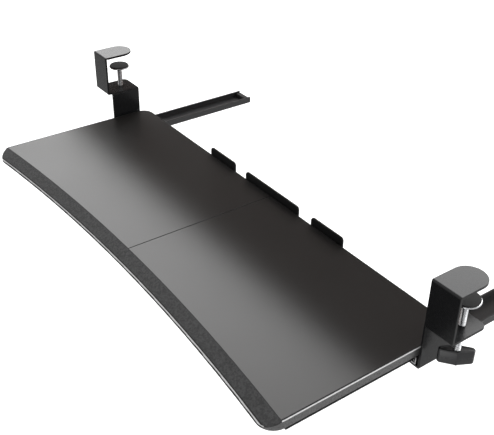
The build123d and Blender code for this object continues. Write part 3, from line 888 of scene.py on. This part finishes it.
sunkScrew = screwTemplate("sunkScrew", plateScrew, rod(plateScrew) + flatHead(plateScrew), 0.0, "screw")
places = [(x, y, plateScrew["z"]) for y in plateScrew["y"] for x in plateScrew["x"]]
piece = templateRow("plateScrews", plateScrew, sunkScrew, places, down, "screw")
settle(piece, "tray", "joining_plate_screws")
profile = rod(stopScrew) + panHead(stopScrew)
stopTemplate = screwTemplate("stopTemplate", stopScrew, profile, stopScrew["height"], "screw")
places = [(x, stopScrew["y"], stopScrew["z"]) for x in stopScrew["x"]]
piece = templateRow("stopScrews", stopScrew, stopTemplate, places, rearward, "screw")
settle(piece, "tray", "rear_stop_screws")

profile = rod(slideScrew) + panHead(slideScrew)
slideTemplate = screwTemplate("slideTemplate", slideScrew, profile, slideScrew["height"], "screw")
boltSink, boltLength = (slideBolt["head"] - slideBolt["shank"]) / 2, slideBolt["top"] - slideBolt["tail"]
boltNeck = [(slideBolt["shank"] / 2, 0.1 - boltSink - slideBolt["neck"])] + flatHead(slideBolt)
boltThread = (-boltLength, -boltSink - slideBolt["neck"], slideBolt["shank"] / 2, slideBolt["pitch"],
              slideBolt["depth"], slideBolt["chamfer"])
boltTemplate = screwTemplate("boltTemplate", slideBolt, boltNeck, 0.0, "zinc", boltThread)
for label, side in sides.items():
    places = [(side * slideScrew["x"], y, slideScrew["z"]) for y in slideScrew["y"]]
    piece = templateRow("slideScrews_" + label, slideScrew, slideTemplate, places, down, "screw", side)
    settle(piece, "tray", "slide_inner_screws_" + label)
    places = [(side * slideBolt["x"], y, slideBolt["top"]) for y in slideBolt["y"]]
    piece = templateRow("slideBolts_" + label, slideBolt, boltTemplate, places, up, "zinc", side)
    settle(piece, "clamps", "slide_bolts_" + label)

rings = nutRings(slideNut["flats"], slideNut["low"] - slideNut["high"], 0.0, slideNut["bore"], (0, 0), 6)
nutTemplate = meshPiece("nutTemplate", *skin(rings, False), "zinc", 20.0)
for label, side in sides.items():
    places = [(side * slideBolt["x"], y, slideNut["high"]) for y in slideBolt["y"]]
    piece = templateRow("slideNuts_" + label, slideNut, nutTemplate, places, up, "zinc", side)
    settle(piece, "clamps", "slide_nuts_" + label)
print("scene: nuts, screws and bolts")

# Balls, two rows of eight in each cage

balls = {"diameter": 5.0, "perSide": 8, "pitch": 6.0, "x": 327.5}
for label, side in sides.items():
    low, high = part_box("slide_balls_" + label)
    reach = (high.x - low.x) / 2 / mm - balls["diameter"] / 2
    first = (low.y + high.y) / 2 / mm - balls["pitch"] * (balls["perSide"] - 1) / 2
    places = [(side * balls["x"] + across * reach, first + balls["pitch"] * step, (low.z + high.z) / 2 / mm)
              for across in (-1, 1) for step in range(balls["perSide"])]
    piece = grow("slideBalls_" + label, places, "balls", {
        "Diameter": balls["diameter"] * mm, "Finish": finishes["ball"]})
    settle(piece, label + "_ball_cage", "slide_balls_" + label)
print("scene: balls")

# Rear bumpers: moulded rubber, grooved across

bumper = {"round": 0.9, "grooveShares": (0.34, 0.66), "groove": 0.55, "squash": 0.6, "cornerSteps": 5}


def bumperRing(inset, y, box):
    # the end view drawn in; the flat top and bottom come in less than the sides
    low, high = box
    edge, steps = bumper["round"], bumper["cornerSteps"]
    middle = ((low.x + high.x) / 2, (low.z + high.z) / 2)
    wide = (high.x - low.x) / 2 / mm - inset - edge
    tall = (high.z - low.z) / 2 / mm - inset * bumper["squash"] - edge
    ring = []
    for across, upward, start in ((1, -1, 270), (1, 1, 0), (-1, 1, 90), (-1, -1, 180)):
        for step in range(steps + 1):
            angle = math.radians(start + 90 / steps * step)
            ring.append((middle[0] + (across * wide + edge * math.cos(angle)) * mm, low.y + y * mm,
                         middle[1] + (upward * tall + edge * math.sin(angle)) * mm))
    return ring


for label in sides:
    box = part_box("slide_bumper_" + label)
    long, groove = (box[1].y - box[0].y) / mm, bumper["groove"]
    ends = [(0.9, 0.0), (0.35, 0.12), (0.08, 0.4), (0.0, 0.9)]
    profile = list(ends)
    for share in bumper["grooveShares"]:
        profile += [(inset, long * share + along) for inset, along in (
            (0.0, -0.6), (groove * 0.8, -0.3), (groove, 0.0), (groove * 0.8, 0.3), (0.0, 0.6))]
    profile += [(inset, long - along) for inset, along in reversed(ends)]
    rings = [bumperRing(inset, y, box) for inset, y in profile]
    piece = meshPiece("slideBumper_" + label, *skin(rings), "rubber", 35.0)
    settle(piece, "clamps", "slide_bumper_" + label)

# Dowels across the seam, fluted for glue

dowels = {
    "diameter": 6.0, "length": 30.0, "flutes": 16, "fluteDepth": 0.22, "chamfer": (0.9, 0.8), "turn": 0.0,
    "seed": 1, "y": (-128.1, -59.5, 9.1), "z": -103.0,
}


def dowelRing(x, inset):
    ring, flutes = [], dowels["flutes"]
    for step in range(flutes * 4):
        angle = 2 * math.pi * step / (flutes * 4)
        reach = dowels["diameter"] / 2 - inset - dowels["fluteDepth"] * (0.5 - 0.5 * math.cos(flutes * angle))
        ring.append((x * mm, reach * mm * math.cos(angle), reach * mm * math.sin(angle)))
    return ring


half, (run, drop) = dowels["length"] / 2, dowels["chamfer"]
profile = ((-half, drop), (-half + run, 0.0), (0.0, 0.0), (half - run, 0.0), (half, drop))
rings = [dowelRing(x, inset) for x, inset in profile]
dowelTemplate = meshPiece("dowelTemplate", *skin(rings), "beech", 25.0)
places = [(0.0, y, dowels["z"]) for y in dowels["y"]]
piece = templateRow("jointDowels", dowels, dowelTemplate, places, up, "beech")
settle(piece, "tray", "joint_dowels")
print("scene: bumpers and dowels")

for template in (sunkScrew, stopTemplate, slideTemplate, boltTemplate, nutTemplate, dowelTemplate):
    bpy.data.objects.remove(template)

# Stage: pale floor, soft boxes and a dark card that only reflections see

stage = {
    "floorHeight": -0.72, "floorHalf": 9.0, "floorTone": (0.62, 0.62, 0.62), "floorPatch": (0.65, 0.65, 0.65),
    "floorGlow": 0.62, "farGlow": 0.6, "farFrom": 2.4, "farTo": 50.0, "ambient": 0.47,
    "cardTone": (0.095, 0.060, 0.048), "cardBox": ((-0.56, 0.335), (0.0006, 0.62), (-0.0206, -0.0004)),
}


def stageMesh(name, points, faces, material):
    mesh = bpy.data.meshes.new(name)
    mesh.from_pydata(points, [], faces)
    mesh.materials.append(material)
    piece = placed(name, mesh)
    return piece


def seenRays(tree, *others):
    # 1 for camera rays and the other kinds named, 0 for the rest
    rays = tree.nodes.new("ShaderNodeLightPath")
    total = rays.outputs["Is Camera Ray"]
    for label in others:
        most = tree.nodes.new("ShaderNodeMath")
        most.operation = "MAXIMUM"
        tree.links.new(total, most.inputs[0])
        tree.links.new(rays.outputs[label], most.inputs[1])
        total = most.outputs[0]
    return total


def makeFloor():
    look = Finish("paleFloor", Roughness=0.9)
    tone = look.blend(look.noise(3.0, 2.0), stage["floorTone"], stage["floorPatch"])
    look.use(Base_Color=tone)
    look.shader.inputs["Emission Color"].default_value = (1, 1, 1, 1)
    # the glow makes up for the lamps' falling off far away, so the backdrop stays white
    away = look.node("ShaderNodeVectorMath", {"operation": "LENGTH"}, {0: look.place}, out="Value")
    glow = look.band(away, stage["farFrom"], stage["farTo"], 1.2) * stage["farGlow"] + stage["floorGlow"]
    glow = glow * Wire(look, seenRays(look.tree, "Is Transmission Ray"))
    look.tree.links.new(glow.socket, look.shader.inputs["Emission Strength"])
    half, level = stage["floorHalf"], stage["floorHeight"]
    corners = [(-half, -half, level), (half, -half, level), (half, half, level), (-half, half, level)]
    stageMesh("floor", corners, [(0, 1, 2, 3)], look.material)


def makeCard():
    # the card glows a dim brown where a desk's underside would be: a painted reflection, seen only in glossy
    # rays, that darkens the deck's rear
    material = bpy.data.materials.new("darkCard")
    material.use_nodes = True
    tree = material.node_tree
    tree.nodes.clear()
    glow, end = tree.nodes.new("ShaderNodeEmission"), tree.nodes.new("ShaderNodeOutputMaterial")
    glow.inputs["Color"].default_value = (*stage["cardTone"], 1)
    tree.links.new(glow.outputs[0], end.inputs["Surface"])
    (x0, x1), (y0, y1), (z0, z1) = stage["cardBox"]
    points = [(x, y, z) for x in (x0, x1) for y in (y0, y1) for z in (z0, z1)]
    faces = [(0, 1, 3, 2), (4, 6, 7, 5), (0, 4, 5, 1), (2, 3, 7, 6), (0, 2, 6, 4), (1, 5, 7, 3)]
    card = stageMesh("darkCard", points, faces, material)
    card.visible_camera = card.visible_diffuse = card.visible_shadow = card.visible_transmission = False


def makeWorld():
    world = bpy.data.worlds.new("studio")
    bpy.context.scene.world = world
    world.use_nodes = True
    tree = world.node_tree
    back = tree.nodes["Background"]
    back.inputs["Color"].default_value = (1, 1, 1, 1)
    level = tree.nodes.new("ShaderNodeMapRange")
    level.inputs["To Min"].default_value = stage["ambient"]
    level.inputs["To Max"].default_value = 1.0
    tree.links.new(seenRays(tree, "Is Glossy Ray", "Is Transmission Ray"), level.inputs["Value"])
    tree.links.new(level.outputs[0], back.inputs["Strength"])


lamps = {
    # place, aimed at, width, height, radiance
    "sheenBox": ((-1.28, 1.12, 1.24), (0.0, -0.10, -0.10), 2.9, 1.65, 3.9),
    "lowBox": ((0.70, -0.85, -0.60), (0.37, 0.03, -0.10), 0.6, 0.6, 2.6),
    "leftBox": ((-1.55, -1.00, 1.30), (0.0, -0.10, -0.10), 0.5, 0.5, 3.5),
    "frontBox": ((1.1, -1.9, 1.5), (0.0, -0.10, -0.10), 1.0, 0.8, 0.9),
    "rightBox": ((1.9, 1.3, 1.0), (0.2, -0.05, -0.05), 0.7, 0.9, 8.0),
}


def makeLamp(name, place, target, width, height, radiance):
    light = bpy.data.lights.new(name, "AREA")
    light.shape = "RECTANGLE"
    light.size, light.size_y = width, height
    light.energy = math.pi * radiance * width * height
    lamp = placed(name, light)
    lamp.location = place
    lamp.rotation_mode = "QUATERNION"
    lamp.rotation_quaternion = (Vector(target) - Vector(place)).to_track_quat("-Z", "Y")
    lamp.visible_camera = False


makeFloor()
makeCard()
makeWorld()
for name, values in lamps.items():
    makeLamp(name, *values)
print("scene: stage and", len(lamps), "lamps")

# Camera

view = {
    "place": (0.78998, -0.55685, 0.51148), "azimuth": 53.751, "elevation": 32.713, "roll": 0.906,
    "lens": 60.828, "sensor": 36.0, "clip": (0.01, 50.0),
}


def makeCamera():
    azimuth, elevation, roll = (math.radians(view[label]) for label in ("azimuth", "elevation", "roll"))
    level = math.cos(elevation)
    back = Vector((math.sin(azimuth) * level, -math.cos(azimuth) * level, math.sin(elevation)))
    across = (-back).cross(Vector((0, 0, 1))).normalized()
    up = across.cross(-back)
    right = math.cos(roll) * across + math.sin(roll) * up
    above = -math.sin(roll) * across + math.cos(roll) * up
    matrix = Matrix((right, above, back)).transposed().to_4x4()
    matrix.translation = view["place"]
    lens = bpy.data.cameras.new("camera")
    lens.lens, lens.sensor_width, lens.sensor_fit = view["lens"], view["sensor"], "HORIZONTAL"
    lens.clip_start, lens.clip_end = view["clip"]
    camera = placed("camera", lens)
    camera.matrix_world = matrix
    bpy.context.scene.camera = camera


makeCamera()
bpy.context.scene.view_settings.view_transform = "Standard"

bpy.context.view_layer.update()
print("scene: done")
